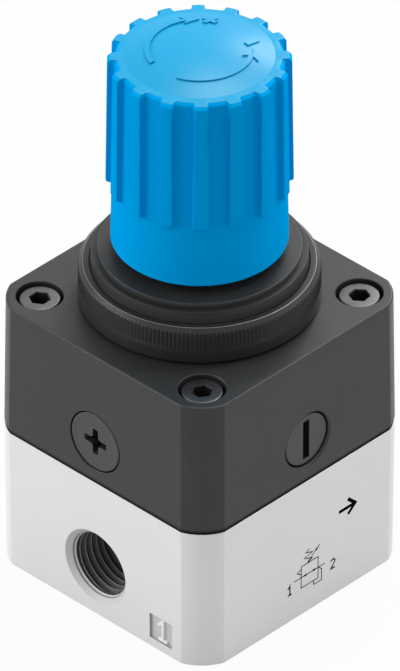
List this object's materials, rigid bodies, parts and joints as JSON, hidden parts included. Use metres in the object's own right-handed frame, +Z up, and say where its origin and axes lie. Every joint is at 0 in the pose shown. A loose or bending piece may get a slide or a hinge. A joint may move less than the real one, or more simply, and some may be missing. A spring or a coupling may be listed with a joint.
{
  "type": "precision pressure regulator",
  "caption": "Diaphragm pressure regulator with push-to-lock knob, panel nut on a threaded neck, two side ports and blanked gauge ports.",
  "frame": {"origin": "middle of the underside of the base", "axes": "+Z up along the knob axis, -X towards port 1, +X towards port 2, -Y towards the side with the schematic"},
  "size_m": [0.05, 0.05, 0.103],
  "materials": {
    "light_casting": "matt light grey coated die casting",
    "dark_casting": "satin dark grey coating",
    "knob_plastic": "satin blue moulded plastic",
    "nut_black": "satin black",
    "screw_steel": "dark zinc coated steel",
    "plug_metal": "satin dark coating",
    "brass": "turned brass",
    "plated_steel": "zinc plated steel",
    "spring_steel": "drawn spring wire",
    "seal_rubber": "black nitrile rubber"
  },
  "bodies": {
    "housing": {"base_body": "light_casting", "upper_housing": "dark_casting", "thrust_washer": "brass", "knob_detent_ring": "spring_steel", "range_spring": "spring_steel", "diaphragm": "seal_rubber", "valve_seat": "brass", "valve_seat_seal": "seal_rubber", "valve_guide": "brass", "valve_spring": "spring_steel", "cross_recess_plug": "plug_metal", "cross_plug_seal": "seal_rubber", "slot_plug": "plug_metal", "slot_plug_seal": "seal_rubber", "inlet_passage_seal": "seal_rubber", "outlet_passage_seal": "seal_rubber", "housing_screw_1": "screw_steel", "housing_screw_2": "screw_steel", "housing_screw_3": "screw_steel", "housing_screw_4": "screw_steel"},
    "spindle": {"adjusting_spindle": "plated_steel", "spindle_clip": "spring_steel"},
    "knob": {"adjusting_knob": "knob_plastic"},
    "spring_nut": {"spring_nut": "brass"},
    "valve_group": {"spring_plate": "plated_steel", "diaphragm_plate": "plated_steel", "relief_stud": "brass", "relief_stud_nut": "brass"},
    "valve": {"valve_stem": "brass", "valve_disc": "seal_rubber"},
    "panel_nut": {"panel_nut": "nut_black"}
  },
  "joints": [
    {"name": "knob_turn", "type": "hinge", "parent": "housing", "child": "spindle", "pos_m": [0, 0, 0.08], "axis": [0, 0, 1], "range_deg": [-2160, 0]},
    {"name": "knob_push", "type": "slide", "parent": "spindle", "child": "knob", "axis": [0, 0, 1], "range_m": [-0.0015, 0]},
    {"name": "spring_nut_travel", "type": "slide", "parent": "housing", "child": "spring_nut", "axis": [0, 0, 1], "range_m": [-0.0075, 0], "deforming": ["range_spring"]},
    {"name": "diaphragm_travel", "type": "slide", "parent": "housing", "child": "valve_group", "axis": [0, 0, 1], "range_m": [-0.0008, 0], "stiffness_N_per_m": 2000, "deforming": ["diaphragm"]},
    {"name": "valve_stroke", "type": "slide", "parent": "housing", "child": "valve", "axis": [0, 0, 1], "range_m": [-0.0008, 0], "stiffness_N_per_m": 500, "deforming": ["valve_spring"]},
    {"name": "panel_nut_turn", "type": "hinge", "parent": "housing", "child": "panel_nut", "pos_m": [0, 0, 0.0566], "axis": [0, 0, 1], "continuous": true}
  ],
  "couplings": [
    {"joint": "spring_nut_travel", "follows": "knob_turn", "m_per_rad": 0.00019894},
    {"joint": "valve_stroke", "follows": "diaphragm_travel", "ratio": 1}
  ]
}
